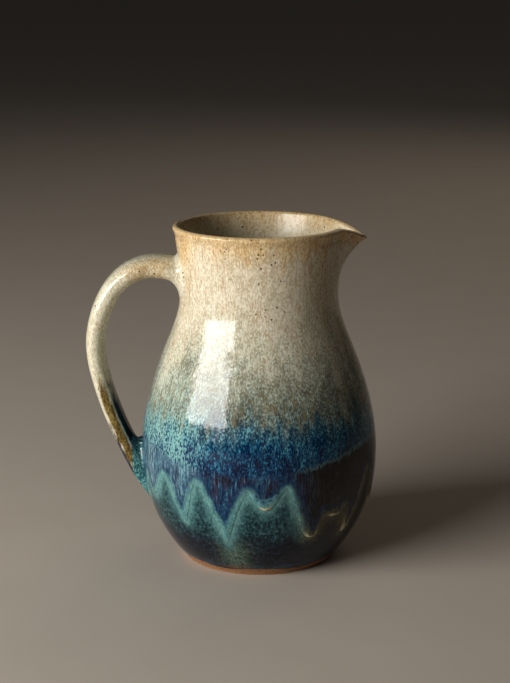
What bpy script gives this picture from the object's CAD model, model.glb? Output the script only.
"""The looks of a hand-thrown stoneware pitcher with a pulled handle and runny glazes.

Shapes are worked out in millimetres, with the same functions as the CAD source, and are
scaled to metres when a mesh is made. Azimuths are in degrees from +X, where the spout is.
"""
import math

import bpy
import numpy as np
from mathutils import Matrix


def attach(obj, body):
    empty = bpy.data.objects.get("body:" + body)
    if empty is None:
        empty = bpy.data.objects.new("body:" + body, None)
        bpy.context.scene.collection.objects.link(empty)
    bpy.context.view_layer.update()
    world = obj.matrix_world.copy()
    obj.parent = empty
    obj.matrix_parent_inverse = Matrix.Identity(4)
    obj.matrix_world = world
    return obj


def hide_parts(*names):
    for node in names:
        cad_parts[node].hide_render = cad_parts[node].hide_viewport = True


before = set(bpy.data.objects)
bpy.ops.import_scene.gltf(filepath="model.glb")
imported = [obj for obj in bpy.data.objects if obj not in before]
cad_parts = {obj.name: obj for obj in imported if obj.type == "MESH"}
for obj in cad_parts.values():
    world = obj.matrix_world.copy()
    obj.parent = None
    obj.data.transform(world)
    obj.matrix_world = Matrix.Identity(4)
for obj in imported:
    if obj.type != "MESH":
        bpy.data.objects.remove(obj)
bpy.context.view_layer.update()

MM = 0.001

# ---------------------------------------------------------------- sizes, in millimetres

# The body's outline as stations of height, radius and slope.
LIP_Z = 203.1
NECK_Z = 163
STATIONS = [(0, 46.4, 0.89), (66, 72, 0), (125, 59.3, -0.385), (NECK_Z, 47.8, 0), (LIP_Z, 51.4, 0.2)]

# The wall's thickness, the floor with its curved and leaning edge, and the foot's recess.
WALL_FOOT = 6.6
WALL_RIM = 3.8
FLOOR_T = 8
FLOOR_CURVE = 12
FLOOR_LEAN = 35
RECESS_R = 37
RECESS_H = 2.5
FOOT_EDGE = 1.1

# Glaze: the whole coat's thickness, the dark one's share of it under the pale one, and the
# heights of the bare foot, the dark coat's hidden top, the runs' top and the runs' arches.
COAT = 0.8
BASE_COAT = 0.35
BARE_H = 4.5
OVERLAP_Z = 96
RUN_TOP_Z = 68
RUN_ARCH_Z = 62

# The spout: its reach past the rim, half its width in degrees, how blunt its tip is, how
# much blunter it gets down the neck, and how fast its sides and its height come in.
SPOUT_REACH = 12.5
SPOUT_ANGLE = 20
SPOUT_TIP = 1.6
SPOUT_SOFTENING = 6
SPOUT_SIDES = 1.3
SPOUT_FLARE = 2.75

# The rolled edge under the lip, the groove below it, and the rings that fingers left.
LIP_BEAD = 0.45
LIP_GROOVE = 0.3
RIPPLE_DEPTH = 0.035
RIPPLE_SPACING = 2.1

# Each run: azimuth of its tip, length below the arches, reach to each side, bluntness.
RUNS = [
    (-154, 16, 8, 11, 2), (-129.8, 26, 10, 8, 1.6), (-106.8, 36, 13, 12.5, 1.2),
    (-87, 13, 9.5, 10, 2), (-62, 34, 14.5, 11, 2.4), (-51, 22, 9, 12, 4), (-40, 36, 6.5, 14, 1.8),
    (-8, 27, 14, 12, 2), (15, 34, 12, 16, 2.5), (43, 22, 12, 11, 2), (68, 36, 15, 14, 3),
    (96, 25, 12, 13, 2), (123, 35, 15, 13, 2.5), (150, 17, 9, 9, 2), (172, 31, 12, 14, 2.5),
    (-166, 22, 10, 8, 2)
]

# The strap handle: its centre line in X and Z, then its section's width and thickness at
# the two ends, how it thins to its tail, and how round its section is.
STRAP_REACH = 99.2
STRAP_UPPER = np.array([(-32.5, 169.2), (-84.2, 201.5), (-STRAP_REACH, 150.3), (-STRAP_REACH, 131)])
STRAP_LOWER = np.array([(-STRAP_REACH, 131), (-STRAP_REACH, 102.5), (-72.5, 45), (-60, 38.5)])
STRAP_W = (28, 20)
STRAP_T = (12.2, 9.4)
STRAP_THINNING = 1.6
TAIL_T = 5.5
TAIL_START = 0.86
ROUNDNESS = 0.8

# The clay smoothed out at its ends: the shares of the strap's length, the fillets to the
# body, and how much wider the clay spreads at the lower and the upper end.
UPPER_SHARE = 0.14
LOWER_SHARE = 0.26
CROOK_FILLET = 7.5
SIDE_FILLET = 4
SPREAD = 6
SKIM = 0.6


# ---------------------------------------------------------------- surfaces

def cubic(a, b, z):
    """A cubic curve between two stations."""
    h = b[0] - a[0]
    t = (z - a[0]) / h
    return ((1 + 2 * t) * (1 - t) ** 2 * a[1] + t * (1 - t) ** 2 * h * a[2]
            + t * t * (3 - 2 * t) * b[1] + t * t * (t - 1) * h * b[2])


def outer_r(z):
    z = np.asarray(z, float)
    pieces = [cubic(a, b, z) for a, b in zip(STATIONS, STATIONS[1:])]
    return np.select([z <= s[0] for s in STATIONS[1:-1]], pieces[:-1], pieces[-1])


def wall(z):
    return WALL_FOOT + (WALL_RIM - WALL_FOOT) * np.asarray(z, float) / LIP_Z


def inner_r(z):
    return outer_r(z) - wall(z)


def wrap(degrees):
    return (np.asarray(degrees, float) + 180) % 360 - 180


def smooth(low, high, value):
    t = np.clip((value - low) / (high - low), 0, 1)
    return t * t * (3 - 2 * t)


def bump_at(middle, width, value):
    return np.exp(-((value - middle) / width) ** 2)


def ripple(z):
    """The faint rings that the potter's fingers left."""
    fade = smooth(12, 40, z) * smooth(200, 170, z)
    return RIPPLE_DEPTH * fade * np.sin(z / RIPPLE_SPACING + 1.7 * np.sin(z / 17))


def pull(a, level):
    """How far the wall's middle is pulled out into the spout."""
    soft = SPOUT_TIP + SPOUT_SOFTENING * (1 - level)
    turn = np.sqrt(a * a + soft * soft) - soft
    return SPOUT_REACH * np.maximum(0, 1 - turn / SPOUT_ANGLE) ** SPOUT_SIDES * level ** SPOUT_FLARE


def droop(a):
    """How far the lip dips where it is pulled out."""
    d = pull(a, 1.0)
    return 0.3 * d + 0.019 * d * d


def neck_mid(a, level):
    """The middle of the neck's wall, from the neck's foot (level 0) to the lip (level 1)."""
    z = NECK_Z + level * (LIP_Z - NECK_Z)
    r = outer_r(z) - wall(z) / 2 + pull(a, level)
    turn = np.radians(a)
    return np.stack([r * np.cos(turn), r * np.sin(turn), z - level * droop(a)], axis=-1)


def neck_ring(a, level, across, up=0.0):
    """A ring of the neck's wall, at an offset across the wall and above its lip."""
    a = wrap(a)
    along = neck_mid(a + 0.2, level) - neck_mid(a - 0.2, level)
    out = np.stack([along[:, 1], -along[:, 0], np.zeros(len(a))], axis=-1)
    out /= np.linalg.norm(out, axis=1)[:, None]
    ring = neck_mid(a, level) + across * out
    ring[:, 2] += up
    return ring


def round_ring(a, r, z):
    turn = np.radians(a)
    r = np.broadcast_to(r, turn.shape)
    z = np.broadcast_to(z, turn.shape)
    return np.stack([r * np.cos(turn), r * np.sin(turn), z], axis=-1)


def outside_rings(a, heights, inset):
    return [round_ring(a, outer_r(z) + ripple(z) - inset, z) for z in heights]


def inside_rings(a, heights, inset):
    return [round_ring(a, inner_r(z) - inset, z) for z in heights]


def lip_bead(u):
    """The rolled edge under the lip, with a shallow groove below it."""
    return LIP_BEAD * bump_at(1.0, 0.045, u) - LIP_GROOVE * bump_at(0.885, 0.035, u)


def neck_rings(a, levels, side, inset):
    """Rings up the neck on the outer (side 1) or inner (side -1) face of the wall."""
    rings = []
    for u in levels:
        half = wall(NECK_Z + u * (LIP_Z - NECK_Z)) / 2
        bead = lip_bead(u) if side > 0 else 0
        rings.append(neck_ring(a, u, side * (half - inset) + bead))
    return rings


def lip_rings(a, start, end, inset, count):
    """Rings over the rounded lip, between two angles of its section."""
    r = WALL_RIM / 2 - inset
    bead = lip_bead(1.0)
    rings = []
    for turn in np.radians(np.linspace(start, end, count)):
        across = r * math.cos(turn) + bead * max(0, math.cos(turn))
        rings.append(neck_ring(a, 1.0, across, r * math.sin(turn)))
    return rings


# ---------------------------------------------------------------- the glaze's lower edge

# How sharply a run comes to its tip, and the share of its reach that counts as the tip.
RUN_SHARPNESS = 1.5
RUN_TIP_SHARE = 0.42


def run_edge(a):
    """The height of the runs' lower edge at an azimuth, and how near it is to a tip."""
    drop = np.zeros(len(a))
    tip = np.zeros(len(a))
    for azimuth, length, left, right, blunt in RUNS:
        d = wrap(a - azimuth)
        reach = np.where(d < 0, left, right)
        share = np.abs(d) / reach
        drop = np.maximum(drop, length * np.maximum(0, 1 - share ** blunt) ** RUN_SHARPNESS)
        tip = np.maximum(tip, bump_at(0, RUN_TIP_SHARE, share))
    return RUN_ARCH_Z - drop, tip


# The body's radius at the runs, and points along their edge.
EDGE_R = 68
LINE_A = np.arange(-190, 190.01, 0.2)
LINE_Z, LINE_TIP = run_edge(LINE_A)


def edge_distance(a, z):
    """Distance from the runs' edge, over the surface and more than 0 inside the coat, and
    how near the closest place on the edge is to a run's tip."""
    x = np.radians(wrap(a)) * EDGE_R
    away = (x[:, None] - np.radians(LINE_A)[None, :] * EDGE_R) ** 2
    away += (z[:, None] - LINE_Z[None, :]) ** 2
    nearest = away.argmin(axis=1)
    inside = np.where(z >= run_edge(a)[0], 1, -1)
    return inside * np.sqrt(away.min(axis=1)), LINE_TIP[nearest]


# ---------------------------------------------------------------- the strap

def bezier(p, t):
    t = np.asarray(t, float)[..., None]
    return ((1 - t) ** 3 * p[0] + 3 * (1 - t) ** 2 * t * p[1]
            + 3 * (1 - t) * t * t * p[2] + t ** 3 * p[3])


def strap_mid(s):
    """The strap's centre line, which runs on straight past its two ends."""
    s = np.asarray(s, float)
    upper = bezier(STRAP_UPPER, np.clip(2 * s, 0, 1))
    lower = bezier(STRAP_LOWER, np.clip(2 * s - 1, 0, 1))
    beyond = (np.minimum(s, 0)[..., None] * 6 * (STRAP_UPPER[1] - STRAP_UPPER[0])
              + np.maximum(s - 1, 0)[..., None] * 6 * (STRAP_LOWER[3] - STRAP_LOWER[2]))
    return np.where((s < 0.5)[..., None], upper, lower) + beyond


def fillet(gap, r):
    """How much a round fillet adds at a distance from the wall."""
    return r - np.sqrt(r * r - np.maximum(0, r - np.maximum(0, gap)) ** 2)


def bare_point(s, a, grow):
    """A point of the strap's oval section, on a skin grown by so much."""
    mid = strap_mid(s)
    along = strap_mid(s + 0.01) - strap_mid(s - 0.01)
    along /= np.linalg.norm(along, axis=-1)[..., None]
    w = STRAP_W[0] + (STRAP_W[1] - STRAP_W[0]) * s
    t = STRAP_T[0] + (STRAP_T[1] - STRAP_T[0]) * np.minimum(1, STRAP_THINNING * s)
    t = t + (TAIL_T - STRAP_T[1]) * np.maximum(0, s - TAIL_START) / (1 - TAIL_START)
    across = (t / 2 + grow) * np.sign(np.cos(a)) * np.abs(np.cos(a)) ** ROUNDNESS
    side = (w / 2 + grow) * np.sign(np.sin(a)) * np.abs(np.sin(a)) ** ROUNDNESS
    x = mid[..., 0] - across * along[..., 1]
    z = mid[..., 1] + across * along[..., 0]
    return np.stack([x, side, z], axis=-1)


def strap_flare(s, a):
    """How much the smoothed clay adds round the strap, at an angle from its inner face.
    The fillet's share is found by halving the range that holds it."""
    inside = np.maximum(0, np.cos(a)) ** 2
    outside = np.maximum(0, -np.cos(a)) ** 2
    edge = np.where(s < 0.5, SIDE_FILLET, 0)
    r = 0.01 + edge + (CROOK_FILLET - edge) * inside
    low, high = np.zeros_like(r), r.copy()
    for _ in range(16):
        grow = (low + high) / 2
        more = grow < fillet(-depth_in_body(bare_point(s, a, grow)), r)
        low, high = np.where(more, grow, low), np.where(more, high, grow)
    upper = np.clip(1 - s / UPPER_SHARE, 0, 1)
    lower = np.clip(1 - (1 - s) / LOWER_SHARE, 0, 1)
    return low + SKIM * upper + SPREAD * lower ** 2 * (1 - 0.75 * outside)


def strap_point(s, a, grow):
    """A point of the strap with its smoothed clay, on a skin grown by so much."""
    return bare_point(s, a, strap_flare(s, a) + grow)


def depth_in_body(points):
    """How deep points are inside the body's outer face, and less than 0 outside it."""
    return outer_r(points[..., 2]) - np.hypot(points[..., 0], points[..., 1])


# ---------------------------------------------------------------- meshes

# Steps round the pot in degrees: for the outer glazes, for the rest, and close to the
# spout, which goes so many degrees to each side.
FINE_TURN = 0.6
PLAIN_TURN = 1.0
SPOUT_TURN = 0.25
SPOUT_SIDE = 7


def azimuths(step, spout_step=None):
    """Azimuths all round the pot, with finer ones at the spout where a step is given."""
    a = np.arange(-180, 180 - 1e-6, step)
    if spout_step:
        near = np.arange(-SPOUT_SIDE, SPOUT_SIDE + 1e-6, spout_step)
        a = np.concatenate([a[np.abs(a) > SPOUT_SIDE], near])
    return np.unique(np.round(a, 6))


SHARP_ANGLE = 48


def ring_faces(rows, n, loop):
    """Quads between rings, with a fan at both ends unless the rings make a loop."""
    r = np.arange(rows if loop else rows - 1)[:, None]
    c = np.arange(n)[None, :]
    r2 = (r + 1) % rows
    c2 = (c + 1) % n
    corners = [r * n + c, r * n + c2, r2 * n + c2, r2 * n + c]
    faces = np.stack(corners, axis=-1).reshape(-1, 4).tolist()
    if not loop:
        first, last, top = rows * n, rows * n + 1, (rows - 1) * n
        faces += [[first, (j + 1) % n, j] for j in range(n)]
        faces += [[last, top + j, top + (j + 1) % n] for j in range(n)]
    return faces


def make_piece(name, rings, loop, material, nodes, marks=None):
    """A closed mesh through rings of points. A loop's last ring joins its first one, and
    otherwise both ends close on the axis. Marks are numbers kept at each point."""
    grid = np.array(rings)
    rows, n = grid.shape[:2]
    verts = grid.reshape(-1, 3)
    if not loop:
        verts = np.vstack([verts, grid[0].mean(0), grid[-1].mean(0)])
    mesh = bpy.data.meshes.new(name)
    mesh.from_pydata((verts * MM).tolist(), [], ring_faces(rows, n, loop))
    mesh.validate()
    for mark, values in (marks or {}).items():
        values = np.asarray(values, np.float32).reshape(-1)
        values = np.concatenate([values, np.zeros(len(mesh.vertices) - len(values), np.float32)])
        mesh.attributes.new(mark, "FLOAT", "POINT").data.foreach_set("value", values)
    mesh.shade_smooth()
    mesh.set_sharp_from_angle(angle=math.radians(SHARP_ANGLE))
    mesh.materials.append(material)
    piece = bpy.data.objects.new(name, mesh)
    bpy.context.scene.collection.objects.link(piece)
    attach(piece, "root")
    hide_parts(*nodes)
    return piece


# ---------------------------------------------------------------- material nodes

def linear(r, g, b):
    """A colour given as 0 to 255 on a screen, as the shader's linear light."""
    def one(v):
        v = v / 255
        return v / 12.92 if v <= 0.04045 else ((v + 0.055) / 1.055) ** 2.4
    return (one(r), one(g), one(b), 1.0)


class Finish:
    """A material and short calls that add nodes to it."""

    def __init__(self, name):
        self.material = bpy.data.materials.new(name)
        self.material.use_nodes = True
        self.tree = self.material.node_tree
        self.tree.nodes.clear()
        self.place = self.add("ShaderNodeTexCoord", out="Object")
        self.z = self.math("MULTIPLY", self.add("ShaderNodeSeparateXYZ", {0: self.place}, out="Z"), 1000.0)

    def add(self, kind, inputs=None, out=0, **settings):
        node = self.tree.nodes.new(kind)
        for key, value in settings.items():
            setattr(node, key, value)
        for key, value in (inputs or {}).items():
            if isinstance(value, bpy.types.NodeSocket):
                self.tree.links.new(value, node.inputs[key])
            else:
                node.inputs[key].default_value = value
        return node.outputs[out]

    def math(self, operation, a, b=0.0, clamp=False):
        return self.add("ShaderNodeMath", {0: a, 1: b}, operation=operation, use_clamp=clamp)

    def times(self, a, b):
        return self.math("MULTIPLY", a, b)

    def plus(self, a, b):
        return self.math("ADD", a, b)

    def mark(self, name):
        return self.add("ShaderNodeAttribute", out="Fac", attribute_name=name)

    def step(self, value, low, high, start=0.0, end=1.0):
        return self.add("ShaderNodeMapRange", {0: value, 1: low, 2: high, 3: start, 4: end},
                        interpolation_type="SMOOTHSTEP")

    def mix(self, share, a, b):
        return self.add("ShaderNodeMix", {0: share, 6: a, 7: b}, out=2, data_type="RGBA")

    def ramp(self, value, stops):
        """Colours at heights in millimetres, blended between them."""
        top = stops[-1][0]
        node = self.tree.nodes.new("ShaderNodeValToRGB")
        elements = node.color_ramp.elements
        while len(elements) < len(stops):
            elements.new(1.0)
        for element, (z, colour) in zip(elements, stops):
            element.position = z / top
            element.color = linear(*colour)
        self.tree.links.new(self.times(value, 1.0 / top), node.inputs[0])
        return node.outputs[0]

    def spread(self, width, height, shift=0.0):
        """The object's own place, scaled so that one unit is a mark's size, and moved on."""
        scale = (1000 / width, 1000 / width, 1000 / height)
        place = self.add("ShaderNodeVectorMath", {0: self.place, 1: scale}, operation="MULTIPLY")
        return self.add("ShaderNodeVectorMath", {0: place, 1: (shift,) * 3}, operation="ADD")

    def marks(self, width, height, detail=2.0, rough=0.5, shift=0.0):
        """Noise whose marks are so many millimetres wide and tall."""
        place = self.spread(width, height, shift)
        settings = {"Vector": place, "Scale": 1.0, "Detail": detail, "Roughness": rough}
        return self.add("ShaderNodeTexNoise", settings)

    def swing(self, noise, size):
        """Noise moved to run both ways from 0, times a size."""
        return self.times(self.plus(noise, -0.5), size)

    def dots(self, spacing, radius):
        """Round specks where the surface cuts scattered points."""
        place = self.spread(spacing, spacing)
        far = self.add("ShaderNodeTexVoronoi", {"Vector": place, "Scale": 1.0}, out="Distance")
        return self.step(far, radius / spacing, 0.6 * radius / spacing)

    def bump(self, height, depth, normal=None):
        inputs = {"Height": height, "Distance": depth * MM, "Strength": 1.0}
        if normal is not None:
            inputs["Normal"] = normal
        return self.add("ShaderNodeBump", inputs)

    def surface(self, colour, rough, ior, normal):
        shader = self.add("ShaderNodeBsdfPrincipled",
                          {"Base Color": colour, "Roughness": rough, "IOR": ior, "Normal": normal})
        output = self.tree.nodes.new("ShaderNodeOutputMaterial")
        self.tree.links.new(shader, output.inputs["Surface"])
        return self.material


GLAZE_IOR = 1.43
GLAZE_ROUGH = 0.11
LINER_ROUGH = 0.26


def glaze_surface(f, colour, rough=GLAZE_ROUGH):
    """A glossy fired surface with a fine orange-peel texture."""
    peel = f.bump(f.marks(2.6, 3.4, 2.0), 0.10)
    waves = f.bump(f.marks(11, 16, 2.0, shift=7.0), 0.35, peel)
    return f.surface(colour, rough, GLAZE_IOR, waves)


def mottle(f, share, dark, mid, light):
    """Dark, middle and light flecks, picked by a noise."""
    body = f.mix(f.step(share, 0.38, 0.52), dark, mid)
    return f.mix(f.step(share, 0.54, 0.74), body, light)


def fleck_share(f):
    fine = f.marks(0.9, 1.8, 2.6, 0.56)
    coarse = f.marks(2.6, 7.0, 2.0, shift=3.0)
    cloud = f.marks(8.0, 13.0, 1.0, shift=31.0)
    share = f.plus(f.plus(f.times(fine, 0.66), f.times(coarse, 0.2)), f.times(cloud, 0.14))
    return f.plus(f.swing(share, 1.95), 0.5)


# The pale coat's dark, middle and light flecks, by height. Heights are in millimetres.
COAT_DARK = [
    (0, (3, 16, 44)), (72, (3, 18, 48)), (84, (8, 36, 66)), (94, (38, 60, 74)),
    (105, (76, 84, 78)), (120, (110, 112, 98)), (140, (162, 156, 134)),
    (158, (186, 176, 150)), (190, (190, 176, 147)), (203, (186, 158, 114))
]
COAT_MID = [
    (0, (12, 54, 94)), (72, (12, 54, 94)), (84, (26, 80, 112)), (94, (64, 100, 116)),
    (105, (111, 121, 115)), (120, (146, 152, 138)), (140, (194, 192, 172)),
    (158, (210, 203, 182)), (190, (214, 203, 179)), (203, (212, 187, 143))
]
COAT_LIGHT = [
    (0, (46, 120, 142)), (72, (46, 120, 142)), (84, (74, 144, 158)), (94, (114, 164, 168)),
    (105, (148, 174, 166)), (120, (180, 192, 178)), (140, (214, 214, 196)),
    (158, (226, 221, 202)), (190, (227, 218, 196)), (203, (226, 205, 163))
]
LINER_MID = [(0, (184, 180, 164)), (170, (192, 186, 168)), (194, (190, 178, 150)), (206, (188, 162, 118))]
LINER_DARK = [(0, (164, 160, 144)), (170, (172, 164, 144)), (194, (168, 152, 122)), (206, (160, 128, 84))]


def upper_colour(f, share):
    """The pale coat above the dip line: blue, then olive at the shoulder, cream at the neck."""
    drift = f.swing(f.marks(9, 34, 2.0, shift=11.0), 26.0)
    jitter = f.swing(f.marks(2.4, 7.0, 2.0, shift=5.0), 14.0)
    streaks = f.swing(f.marks(3.6, 70, 2.0, shift=21.0), 22.0)
    level = f.plus(f.plus(f.z, f.mark("lift")), f.plus(streaks, f.plus(drift, jitter)))
    flecks = [f.ramp(level, stops) for stops in (COAT_DARK, COAT_MID, COAT_LIGHT)]
    colour = mottle(f, share, *flecks)
    olive = f.step(f.marks(2.2, 9.0, 3.0, 0.6, shift=37.0), 0.46, 0.6)
    olive = f.times(olive, f.times(f.step(level, 96, 106), f.step(level, 130, 116)))
    colour = f.mix(f.times(olive, 0.45), colour, linear(128, 112, 74))
    green = f.times(f.times(f.mark("pale"), f.step(level, 114, 90)), f.step(share, 0.5, 0.7))
    colour = f.mix(f.times(green, 0.42), colour, linear(166, 202, 182))
    hair = f.step(f.marks(0.9, 12.0, 3.0, 0.6, shift=2.0), 0.5, 0.64)
    tufts = f.step(f.marks(7, 26, 2.0, shift=57.0), 0.34, 0.6)
    hair = f.times(hair, f.times(f.step(level, 124, 148), tufts))
    return f.mix(f.times(hair, 0.55), colour, linear(176, 132, 84))


def overlap_colour(f, share):
    """The pale coat below the dip line, where the dark one shows through: purple and blue
    streaks, brown or teal in places."""
    streaks = f.plus(f.swing(f.marks(1.1, 9.0, 3.0, 0.6, shift=41.0), 1.7), 0.5)
    streaks = f.plus(f.times(streaks, 0.6), f.times(share, 0.4))
    purple = mottle(f, streaks, linear(24, 22, 36), linear(44, 50, 72), linear(84, 112, 136))
    blue = mottle(f, streaks, linear(8, 24, 52), linear(26, 62, 92), linear(70, 120, 142))
    colour = f.mix(f.step(f.marks(6.0, 18.0, 2.0, shift=43.0), 0.42, 0.6), purple, blue)
    brown = mottle(f, streaks, linear(14, 9, 10), linear(32, 26, 28), linear(62, 58, 62))
    colour = f.mix(f.mark("warm"), colour, brown)
    teal = mottle(f, streaks, linear(34, 62, 86), linear(84, 118, 136), linear(134, 172, 176))
    patch = f.step(f.marks(7.0, 22.0, 2.0, shift=27.0), 0.36, 0.56)
    return f.mix(f.times(f.mark("pale"), f.plus(f.times(patch, 0.5), 0.45)), colour, teal)


def coat_colour(f):
    """The pale coat's colours on both sides of the dip line, and the paler line itself."""
    share = f.plus(fleck_share(f), f.times(f.mark("pale"), 0.13))
    fringe = f.swing(f.marks(1.5, 7.0, 2.0, shift=9.0), 9.0)
    above = f.plus(f.mark("dip"), fringe)
    colour = f.mix(f.step(above, 2.2, -2.2), upper_colour(f, share), overlap_colour(f, share))
    line = f.times(f.step(above, 1.6, 0.4), f.step(above, -1.4, -0.2))
    return f.mix(f.times(f.times(line, f.mark("warm")), 0.5), colour, linear(104, 138, 128))


def edge_wobble(f, size):
    """The unevenness along the runs. Both coats use the same noise, so their bands meet."""
    return f.swing(f.marks(5.0, 9.0, 3.0, shift=13.0), size)


def band_flecks(f):
    return f.marks(1.0, 1.8, 2.6, 0.56, shift=17.0)


def band_colour(f, fine):
    """The celadon or olive glass where the coats thin out along the runs."""
    celadon = mottle(f, fine, linear(54, 98, 104), linear(86, 132, 134), linear(120, 164, 162))
    olive = mottle(f, fine, linear(40, 38, 26), linear(76, 74, 52), linear(122, 118, 88))
    return f.mix(f.mark("warm"), celadon, olive)


def edge_colour(f, colour):
    """The band along the runs, blue inside it, and the cream beads at their tips."""
    fine = band_flecks(f)
    grain = f.swing(fine, 3.4)
    edge = f.plus(f.mark("edge"), edge_wobble(f, 5.5))
    width = f.plus(f.times(f.mark("tip"), 3.6), 2.4)
    past = f.plus(f.plus(edge, grain), f.times(width, -1.0))
    blue = mottle(f, fine, linear(6, 22, 52), linear(18, 56, 90), linear(64, 112, 138))
    patchy = f.plus(f.times(f.step(f.marks(5.0, 9.0, 2.0, shift=53.0), 0.36, 0.62), 0.6), 0.25)
    colour = f.mix(f.times(f.step(past, 6.0, 0.6), patchy), colour, blue)
    colour = f.mix(f.step(past, 1.8, -1.6), colour, band_colour(f, fine))
    crest = f.step(f.plus(edge, grain), 4.6, 0.0)
    crest = f.times(crest, f.step(f.marks(5, 8, 2.0, shift=29.0), 0.3, 0.66))
    bright = f.mix(f.mark("warm"), linear(140, 184, 176), linear(148, 142, 108))
    colour = f.mix(f.times(crest, 0.42), colour, bright)
    ring = f.times(f.step(f.mark("drop"), 0.12, 0.3), f.step(f.mark("drop"), 0.8, 0.5))
    colour = f.mix(f.times(ring, 0.34), colour, linear(104, 152, 162))
    bead = f.times(f.step(edge, -0.2, 0.6), f.step(edge, 2.6, 1.4))
    bead = f.times(bead, f.step(f.mark("bead"), 0.35, 0.8))
    return f.mix(f.times(bead, 0.85), colour, linear(190, 182, 142))


def speck_gaps(f, low, high):
    """Patches that hold the specks."""
    return f.step(f.marks(16, 16, 2.0, shift=47.0), low, high)


def speckled(f, colour, zone):
    """Brown specks of iron, where the zone is over 0."""
    specks = f.times(f.dots(4.2, 0.75), f.step(zone, 0.15, 0.5))
    return f.mix(f.times(specks, 0.85), colour, linear(52, 30, 16))


def pale_glaze():
    f = Finish("pale_glaze")
    gaps = speck_gaps(f, 0.42, 0.56)
    zone = f.times(f.plus(f.mark("specks"), f.times(gaps, 0.3)), f.step(f.z, 140, 168))
    rim = f.times(f.step(f.z, 195, 199), f.step(f.marks(22, 22, shift=59.0), 0.44, 0.56))
    return glaze_surface(f, speckled(f, coat_colour(f), f.plus(zone, rim)))


def run_glaze():
    f = Finish("run_glaze")
    return glaze_surface(f, edge_colour(f, coat_colour(f)))


def foot_colour(f, share):
    """The dark coat itself: blue-black at the foot, green or rust brown under the arches."""
    low = mottle(f, share, linear(4, 6, 16), linear(16, 22, 38), linear(40, 54, 76))
    arch = mottle(f, share, linear(14, 36, 44), linear(36, 70, 76), linear(76, 114, 112))
    rust = mottle(f, share, linear(8, 6, 5), linear(24, 20, 16), linear(50, 46, 36))
    arch = f.mix(f.mark("warm"), arch, rust)
    drift = f.swing(f.marks(9, 12, 3.0, shift=4.0), 22.0)
    colour = f.mix(f.step(f.plus(f.z, drift), 20, 38), low, arch)
    foot_line = f.times(f.step(f.z, 9.5, 7.5), f.step(f.marks(12, 4, 2.0, shift=33.0), 0.4, 0.6))
    return f.mix(f.times(foot_line, 0.6), colour, linear(30, 72, 94))


def stream_colour(f, share):
    """Where a run's glaze ran on down to the foot, thin enough to turn brown there."""
    washed = mottle(f, share, linear(58, 84, 78), linear(92, 112, 98), linear(124, 132, 108))
    uneven = f.plus(f.z, f.times(f.marks(4, 4), 6))
    return f.mix(f.step(uneven, 13, 9), washed, linear(112, 92, 68))


def dark_glaze():
    f = Finish("dark_glaze")
    share = f.plus(f.swing(f.marks(1.6, 2.2, 3.0, 0.6, shift=19.0), 1.15), 0.5)
    stream = f.times(f.mark("stream"), f.step(f.marks(3, 9, 3.0, shift=6.0), 0.2, 0.5))
    colour = f.mix(f.times(stream, 0.85), foot_colour(f, share), stream_colour(f, share))
    wobble = edge_wobble(f, 9.0)
    halo = f.step(f.plus(f.mark("edge"), wobble), -9.0, 1.2)
    colour = f.mix(f.times(halo, 0.85), colour, band_colour(f, band_flecks(f)))
    lit = f.times(f.step(f.plus(f.mark("edge"), f.times(wobble, 0.5)), -4.5, 0.5), 0.3)
    bright = f.mix(f.mark("warm"), linear(140, 184, 176), linear(128, 122, 92))
    colour = f.mix(lit, colour, bright)
    fringe = f.step(f.plus(f.z, f.times(f.marks(2.5, 2.5), 1.6)), 6.6, 5.4)
    return glaze_surface(f, f.mix(fringe, colour, linear(40, 28, 24)))


def liner_glaze():
    f = Finish("liner_glaze")
    dark, mid = f.ramp(f.z, LINER_DARK), f.ramp(f.z, LINER_MID)
    colour = mottle(f, fleck_share(f), dark, mid, linear(184, 176, 152))
    return glaze_surface(f, speckled(f, colour, speck_gaps(f, 0.46, 0.6)), LINER_ROUGH)


def handle_glaze():
    f = Finish("handle_glaze")
    share = fleck_share(f)
    face = mottle(f, share, linear(186, 178, 154), linear(212, 206, 184), linear(224, 220, 200))
    ochre = mottle(f, share, linear(164, 134, 88), linear(190, 164, 116), linear(208, 188, 146))
    amber = mottle(f, share, linear(78, 62, 28), linear(116, 96, 50), linear(146, 128, 80))
    dark = mottle(f, share, linear(6, 16, 16), linear(18, 38, 36), linear(44, 72, 68))
    navy = mottle(f, share, linear(10, 14, 28), linear(28, 36, 56), linear(64, 78, 100))
    teal = mottle(f, share, linear(30, 74, 82), linear(74, 126, 128), linear(126, 172, 166))
    wobble = f.swing(f.marks(2.4, 11.0, 3.0, shift=8.0), 0.9)
    colour = f.mix(f.step(f.plus(f.mark("ochre"), wobble), 0.3, 1.0), face, ochre)
    colour = f.mix(f.step(f.plus(f.mark("dark"), wobble), 0.3, 0.8), colour, dark)
    colour = f.mix(f.step(f.plus(f.mark("navy"), wobble), 0.3, 0.8), colour, navy)
    colour = f.mix(f.step(f.plus(f.mark("amber"), wobble), 0.3, 0.8), colour, amber)
    colour = f.mix(f.step(f.plus(f.mark("teal"), wobble), 0.3, 0.7), colour, teal)
    return glaze_surface(f, speckled(f, colour, speck_gaps(f, 0.5, 0.62)))


def stoneware():
    f = Finish("stoneware")
    grain = f.marks(0.6, 0.6, 4.0, 0.7)
    colour = mottle(f, grain, linear(118, 82, 54), linear(162, 120, 84), linear(190, 150, 112))
    colour = speckled(f, colour, 0.9)
    bump = f.bump(f.marks(0.5, 0.5, 4.0, 0.7), 0.25)
    return f.surface(colour, 0.82, 1.45, bump)


# ---------------------------------------------------------------- pieces

def warmth(c):
    """Where the glaze turned olive and brown instead of green, at azimuths from the front."""
    return np.clip(smooth(13, 30, c) * smooth(100, 80, c) + 0.8 * bump_at(-178, 22, c), 0, 1)


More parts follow.
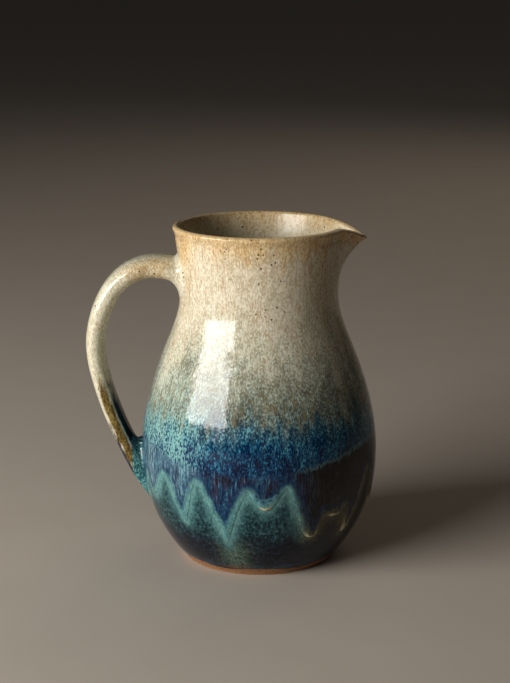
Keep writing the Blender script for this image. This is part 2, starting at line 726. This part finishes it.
# Where the pale coat's colours come lower down: how far, azimuth from the front, width.
LIFTS = [(15, -66, 11), (4, 12, 22), (12, 49, 3), (18, 112, 22), (12, -150, 25), (8, 165, 12)]
# The line where the dark coat stops showing through: its mean height, how far its two waves
# round the pot rise and fall, and how far they are turned.
DIP_Z = 75.5
DIP_SWING = 6
DIP_TURN = 6


def paleness(c, z):
    """Where the blue is paler (over 0) or darker, at azimuths from the front."""
    pale = smooth(-22, -42, c) * smooth(-90, -74, c)
    pale = pale + 0.8 * bump_at(115, 30, c) + 0.6 * bump_at(-145, 25, c)
    pale = pale - 0.4 * bump_at(16, 8, c) * smooth(86, 78, z)
    pale = pale - 0.5 * bump_at(-7, 10, c) * smooth(94, 87, z)
    return np.clip(pale * smooth(135, 112, z), -1, 1)


def side_marks(a, z):
    """How the glaze changes round the pot, at azimuths and heights of a ring."""
    c = wrap(a + 90)
    lift = sum(height * bump_at(middle, width, c) for height, middle, width in LIFTS)
    lift = lift * (0.25 + 0.75 * smooth(84, 112, z))
    dip_z = DIP_Z - DIP_SWING * np.cos(np.radians(2 * (c + DIP_TURN)))
    specks = bump_at(9, 10, c) + 0.5 * bump_at(150, 40, c)
    return {"lift": lift, "pale": paleness(c, z), "dip": z - dip_z,
            "specks": np.clip(specks, 0, 1), "warm": warmth(c)}


def ring_marks(rings, a):
    found = [side_marks(a, ring[:, 2]) for ring in rings]
    return {key: np.array([m[key] for m in found]) for key in found[0]}


NECK_LEVELS = np.concatenate([np.linspace(0, 0.8, 20)[:-1], np.linspace(0.8, 1, 15)])
COARSE_LEVELS = np.array([0, 0.25, 0.5, 0.7, 0.85, 0.94, 1])
# How far below the neck's foot the hidden faces' rings start again.
NECK_STEP = 6


def make_top_glaze(material):
    a = azimuths(FINE_TURN, SPOUT_TURN)
    rings = outside_rings(a, np.linspace(RUN_TOP_Z, NECK_Z, 68)[:-1], 0)
    rings += neck_rings(a, NECK_LEVELS[:-1], 1, 0)
    rings += lip_rings(a, 0, 90, 0, 7)
    rings += lip_rings(a, 90, 0, COAT, 6)[:-1]
    rings += neck_rings(a, COARSE_LEVELS[::-1], 1, COAT)
    rings += outside_rings(a, np.linspace(NECK_Z - NECK_STEP, OVERLAP_Z, 10), COAT)
    rings += outside_rings(a, np.linspace(OVERLAP_Z, RUN_TOP_Z, 5), COAT - BASE_COAT)
    marks = ring_marks(rings, a)
    return make_piece("top_glaze_coat", rings, True, material, ["top_glaze"], marks)


# How far the runs stand out past the coat: along their edge, at a tip, and at a cream bead.
RUN_CREST = 0.1
TIP_CREST = 0.2
RUN_BEAD = 0.75
# How far in the edge has risen, how much sooner at a bead, and where the crest dies away.
RISE_REACH = 3.4
BEAD_REACH = 1.8
CREST_FADE = (1.7, 8.5)
# How deep a run's lower edge and its back lie in the coats below.
EDGE_SINK = 0.05
BACK_SINK = 0.1
# Small round drops in the crescent at the front: azimuth, height and radius.
DROPS = [(-88.6, 54.5, 1.9), (-85.0, 55.5, 1.6), (-82.2, 57.6, 1.4), (-91.6, 58.5, 1.5)]
DROP_HEIGHT = 0.55


def run_height(d, tip, bead):
    """How far a run stands out past the coat, at a distance inside its edge."""
    crest = RUN_CREST + TIP_CREST * tip + (RUN_BEAD - TIP_CREST) * bead
    rise = np.sqrt(1 - (1 - np.clip(d / (RISE_REACH - BEAD_REACH * bead), 0, 1)) ** 2)
    foot = BASE_COAT - COAT - EDGE_SINK
    return foot + (crest - foot) * rise - crest * smooth(*CREST_FADE, d)


def drop_share(a, z):
    """How near a ring's points are to the middle of a round drop."""
    share = np.zeros(len(a))
    for azimuth, drop_z, r in DROPS:
        away = np.hypot(np.radians(wrap(a - azimuth)) * EDGE_R, z - drop_z)
        share += np.exp(-(away / r) ** 2)
    return share


def bead_share(a):
    """Where a tip ended in a thick cream bead: at the front crescent and right of it."""
    c = wrap(a + 90)
    return np.clip(smooth(-8, -2, c) * smooth(100, 85, c) + smooth(120, 130, c) * smooth(165, 150, c), 0, 1)


def make_glaze_runs(material):
    a = azimuths(FINE_TURN, SPOUT_TURN)
    bottom = run_edge(a)[0]
    down = np.concatenate([np.linspace(0, 0.9, 62)[:-1], 1 - 0.1 * (1 - np.linspace(0, 1, 16)) ** 1.5])
    marks = {"edge": [], "tip": [], "bead": [], "drop": []}
    rings = []
    for v in down:
        z = RUN_TOP_Z + (bottom - RUN_TOP_Z) * v
        d, tip = edge_distance(a, z)
        d = np.maximum(0, d)
        bead = tip * bead_share(a)
        drop = drop_share(a, z)
        out = smooth(0, 0.12, v) * run_height(d, tip, bead) + DROP_HEIGHT * drop
        rings.append(round_ring(a, outer_r(z) + ripple(z) + out, z))
        for key, value in zip(marks, (d, tip, bead, drop)):
            marks[key].append(value)
    for v in np.linspace(1, 0, 8):
        z = RUN_TOP_Z + (bottom - RUN_TOP_Z) * v
        rings.append(round_ring(a, outer_r(z) + ripple(z) + BASE_COAT - COAT - BACK_SINK, z))
        for key in marks:
            marks[key].append(marks[key][-1])
    marks.update(ring_marks(rings, a))
    return make_piece("glaze_runs_band", rings, True, material, ["glaze_runs"], marks)


# How far the dark coat's lower edge wanders up and down.
BASE_WAVE = 0.4


def make_base_glaze(material):
    a = azimuths(FINE_TURN)
    rings = outside_rings(a, np.linspace(BARE_H, 66, 66), COAT - BASE_COAT)
    rings[0] = round_ring(a, outer_r(BARE_H) - COAT + 0.05, BARE_H + BASE_WAVE * np.sin(np.radians(7 * a)))
    rings += outside_rings(a, np.linspace(70, OVERLAP_Z, 6), COAT - BASE_COAT)
    rings += outside_rings(a, np.linspace(OVERLAP_Z, BARE_H + BASE_WAVE, 18), COAT)
    marks = {"edge": [], "stream": [], "warm": []}
    for ring in rings:
        z = ring[:, 2]
        marks["edge"].append(edge_distance(a, z)[0])
        c = wrap(a + 90)
        marks["warm"].append(warmth(c))
        stream = bump_at(-14, 9, c) * smooth(34, 18, z) + bump_at(120, 8, c) * smooth(30, 16, z)
        marks["stream"].append(stream)
    return make_piece("base_glaze_coat", rings, True, material, ["base_glaze"], marks)


def floor_rings(a, inset, count):
    """Rings round the inside's curved floor edge, and the height where the wall takes over."""
    lean = math.radians(90 - FLOOR_LEAN)
    join_z = FLOOR_T + FLOOR_CURVE * (1 - math.sin(math.radians(FLOOR_LEAN)))
    middle = float(inner_r(join_z)) + COAT - FLOOR_CURVE * math.cos(math.radians(FLOOR_LEAN))
    rings = []
    for turn in np.linspace(-math.pi / 2, -math.pi / 2 + lean, count):
        r = FLOOR_CURVE - inset
        rings.append(round_ring(a, middle + r * math.cos(turn), FLOOR_T + FLOOR_CURVE + r * math.sin(turn)))
    return rings, join_z


def make_liner(material):
    a = azimuths(PLAIN_TURN, SPOUT_TURN)
    curve, join_z = floor_rings(a, COAT, 10)
    floor_r = math.hypot(curve[0][0, 0], curve[0][0, 1])
    rings = [round_ring(a, floor_r * u, FLOOR_T + COAT) for u in (0.02, 0.25, 0.5, 0.75)]
    rings += curve + inside_rings(a, np.linspace(join_z + 2, NECK_Z, 80)[:-1], 0)
    rings += neck_rings(a, NECK_LEVELS[:-1], -1, 0)
    rings += lip_rings(a, 180, 90, 0, 7)
    rings += lip_rings(a, 90, 180, COAT, 6)[:-1]
    rings += neck_rings(a, COARSE_LEVELS[::-1], -1, COAT)
    rings += inside_rings(a, np.linspace(NECK_Z - NECK_STEP, join_z + 2, 16), -COAT)
    rings += floor_rings(a, 0, 6)[0][::-1] + [round_ring(a, floor_r * 0.02, FLOOR_T)]
    return make_piece("liner_glaze_coat", rings, False, material, ["liner_glaze"])


def make_body(material):
    a = azimuths(PLAIN_TURN, SPOUT_TURN)
    rings = [round_ring(a, r, RECESS_H) for r in (0.7, 12, 24, RECESS_R - RECESS_H)]
    rings.append(round_ring(a, RECESS_R, 0.4))
    rings.append(round_ring(a, RECESS_R + 0.5, 0))
    foot_r = float(outer_r(FOOT_EDGE)) - COAT
    for turn in np.radians(np.linspace(-90, 0, 6)):
        r = foot_r - FOOT_EDGE + FOOT_EDGE * math.cos(turn)
        rings.append(round_ring(a, r, FOOT_EDGE + FOOT_EDGE * math.sin(turn)))
    rings += outside_rings(a, np.concatenate([[2, 3, 4, 5, 6], np.arange(9, NECK_Z, 4)]), COAT)
    rings += neck_rings(a, COARSE_LEVELS[:-1], 1, COAT)
    rings += lip_rings(a, 0, 180, COAT, 9)
    rings += neck_rings(a, COARSE_LEVELS[:-1][::-1], -1, COAT)
    join_z = floor_rings(a, 0, 2)[1]
    rings += inside_rings(a, np.arange(NECK_Z - 4, join_z + 2, -4), -COAT)
    rings += floor_rings(a, 0, 8)[0][::-1] + [round_ring(a, 0.7, FLOOR_T)]
    return make_piece("thrown_body_clay", rings, False, material, ["thrown_body"])


# How far the joints' clay lies under the coat, and how much of the flare it has, which keeps
# it under the coat in the crook as well.
JOINT_INSET = 0.12
CLAY_FLARE = 0.6
# The part of each end's smoothed share that the joint's clay covers.
JOINT_SPAN = 0.75
# How deep in the body the coat's lines along the strap end.
TRIM_DEPTH = 0.35
# Degrees between the lines along the strap, the rings along it, and how they crowd its ends.
STRAP_TURN = 3.0
STRAP_RINGS = 221
RING_CROWDING = 0.11
SOFT_PASSES = 5


def trimmed_shares(angles, grow):
    """For each line along the strap, the shares of its length where it leaves the body
    and where it meets it again, a little below the glaze."""
    s = np.linspace(-0.12, 1.08, 1201)
    grid_s, grid_a = np.meshgrid(s, angles)
    deep = depth_in_body(strap_point(grid_s, grid_a, grow)) - TRIM_DEPTH
    start, end = [], []
    for line in deep:
        half = len(s) // 2
        first = np.nonzero(line[:half] > 0)[0].max()
        last = half + np.nonzero(line[half:] > 0)[0].min()
        start.append(s[first] + (s[1] - s[0]) * line[first] / (line[first] - line[first + 1]))
        end.append(s[last] - (s[1] - s[0]) * line[last] / (line[last] - line[last - 1]))
    return np.array(start), np.array(end)


def strap_rows():
    """Angles round the strap, and for each of the coat's rings its shares of the length at
    those angles. The rings are close together at both ends."""
    angles = np.radians(np.arange(0, 360, STRAP_TURN))
    start, end = trimmed_shares(angles, COAT)
    t = np.linspace(0, 1, STRAP_RINGS)
    t = t - RING_CROWDING * np.sin(2 * np.pi * t)
    return angles, [start + (end - start) * share for share in t]


def make_joint(name, node, first, last, material):
    """The clay smoothed over the stretch of the strap between two shares of its length."""
    angles, rows = strap_rows()
    rows = [s for s in rows if first <= s.mean() <= last]
    rings = []
    for s in rows:
        rings.append(bare_point(s, angles, CLAY_FLARE * strap_flare(s, angles) - JOINT_INSET))
    rings += [bare_point(s, angles, -JOINT_INSET) for s in rows[::-3]]
    return make_piece(name, rings, True, material, [node])


def strap_marks(s, angles, points):
    """How the glaze changes along the strap, and from its inner face (1) to its outer (-1)."""
    inner = np.cos(angles)
    side = smooth(0.3, 0.7, np.abs(np.sin(angles)))
    neck = 0.7 * side * smooth(0.03, 0.1, s) * smooth(0.3, 0.16, s)
    ochre = neck + 0.45 * bump_at(0.05, 0.4, inner) * smooth(0.2, 0.34, s)
    amber = bump_at(0.02, 0.5, inner) * smooth(0.5, 0.68, s)
    dark = smooth(0.4, 0.66, inner) * smooth(0.42, 0.8, s)
    navy = smooth(-0.24, -0.42, inner) * smooth(0.62, 0.84, s)
    near = smooth(8.5, 4.5, -depth_in_body(points)) * smooth(0.7, 0.8, s)
    low = smooth(56, 48, points[:, 2]) * smooth(0.7, 0.8, s)
    return {"ochre": ochre, "amber": amber, "dark": dark, "navy": navy, "teal": np.maximum(near, low)}


def softened(rings, passes):
    """Rings eased into their neighbours, for the quick turn where the strap meets the belly."""
    for _ in range(passes):
        rings = (np.roll(rings, 1, axis=1) + 2 * rings + np.roll(rings, -1, axis=1)) / 4
        rings[1:-1] = (rings[:-2] + 2 * rings[1:-1] + rings[2:]) / 4
    return rings


def make_handle_glaze(material):
    angles, rows = strap_rows()
    rings, found = [], []
    for grow, shares in ((COAT, rows), (0.0, rows[::-4])):
        for s in shares:
            rings.append(strap_point(s, angles, grow))
            found.append(strap_marks(s, angles, rings[-1]))
    outside = softened(np.array(rings[:len(rows)]), SOFT_PASSES)
    rings = np.concatenate([outside, rings[len(rows):]])
    marks = {key: np.array([m[key] for m in found]) for key in found[0]}
    return make_piece("handle_glaze_coat", rings, True, material, ["handle_glaze"],
                      marks)


# ---------------------------------------------------------------- the set

FLOOR_SIZE = 20.0
LIGHTS_AIM = (0, 0, 0.12)
CAMERA_PLACE = (-0.0025, -0.952, 0.3625)
CAMERA_TILT = 76.43
CAMERA_LENS = 85
CAMERA_SENSOR = 36
WORLD_COLOUR = (1.0, 0.96, 0.92, 1.0)
WORLD_STRENGTH = 0.035


def make_floor():
    size = FLOOR_SIZE
    corners = [(-size, -size, 0), (size, -size, 0), (size, size, 0), (-size, size, 0)]
    mesh = bpy.data.meshes.new("floor")
    mesh.from_pydata(corners, [], [(0, 1, 2, 3)])
    f = Finish("floor_paper")
    colour = f.mix(f.marks(60, 60), linear(186, 176, 165), linear(192, 183, 172))
    mesh.materials.append(f.surface(colour, 0.9, 1.4, f.bump(f.marks(1.5, 1.5), 0.02)))
    floor = bpy.data.objects.new("floor", mesh)
    bpy.context.scene.collection.objects.link(floor)


def aim(thing, place, target):
    """Puts a thing at a place, with its -Z axis towards the target."""
    away = np.array(place) - np.array(target)
    flat = math.hypot(away[0], away[1])
    thing.location = place
    thing.rotation_euler = (math.atan2(flat, away[2]), 0, math.atan2(away[0], -away[1]))


def make_light(name, azimuth, elevation, distance, size, power, colour):
    """A soft box that faces the middle of the pitcher."""
    data = bpy.data.lights.new(name, "AREA")
    data.shape = "RECTANGLE"
    data.size, data.size_y = size
    data.energy = power
    data.color = colour
    light = bpy.data.objects.new(name, data)
    bpy.context.scene.collection.objects.link(light)
    a, e = math.radians(azimuth), math.radians(elevation)
    flat = distance * math.cos(e)
    place = (flat * math.cos(a), flat * math.sin(a), LIGHTS_AIM[2] + distance * math.sin(e))
    aim(light, place, LIGHTS_AIM)


def make_world():
    world = bpy.data.worlds.new("studio")
    world.use_nodes = True
    background = world.node_tree.nodes["Background"]
    background.inputs["Color"].default_value = WORLD_COLOUR
    background.inputs["Strength"].default_value = WORLD_STRENGTH
    bpy.context.scene.world = world


def make_camera():
    data = bpy.data.cameras.new("camera")
    data.lens = CAMERA_LENS
    data.sensor_width = CAMERA_SENSOR
    camera = bpy.data.objects.new("camera", data)
    camera.location = CAMERA_PLACE
    camera.rotation_euler = (math.radians(CAMERA_TILT), 0, 0)
    bpy.context.scene.collection.objects.link(camera)
    bpy.context.scene.camera = camera


def dress_handle(material):
    """The strap's clay stays as the CAD made it, under its glaze."""
    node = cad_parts["handle"]
    node.data.materials.clear()
    node.data.materials.append(material)


clay = stoneware()
make_body(clay)
dress_handle(clay)
make_joint("upper_joint_clay", "upper_joint", 0, JOINT_SPAN * UPPER_SHARE, clay)
make_joint("lower_joint_clay", "lower_joint", 1 - JOINT_SPAN * LOWER_SHARE, 1, clay)
make_liner(liner_glaze())
make_base_glaze(dark_glaze())
make_top_glaze(pale_glaze())
make_glaze_runs(run_glaze())
make_handle_glaze(handle_glaze())

make_floor()
make_world()
make_light("window", azimuth=-145, elevation=17, distance=1.5, size=(1.15, 0.62), power=32,
           colour=(1.0, 0.985, 0.96))
make_light("fill", azimuth=60, elevation=38, distance=2.2, size=(1.6, 1.6), power=5,
           colour=(1.0, 0.84, 0.68))
make_camera()
bpy.context.scene.view_settings.view_transform = "Standard"
bpy.context.scene.view_settings.gamma = 0.9
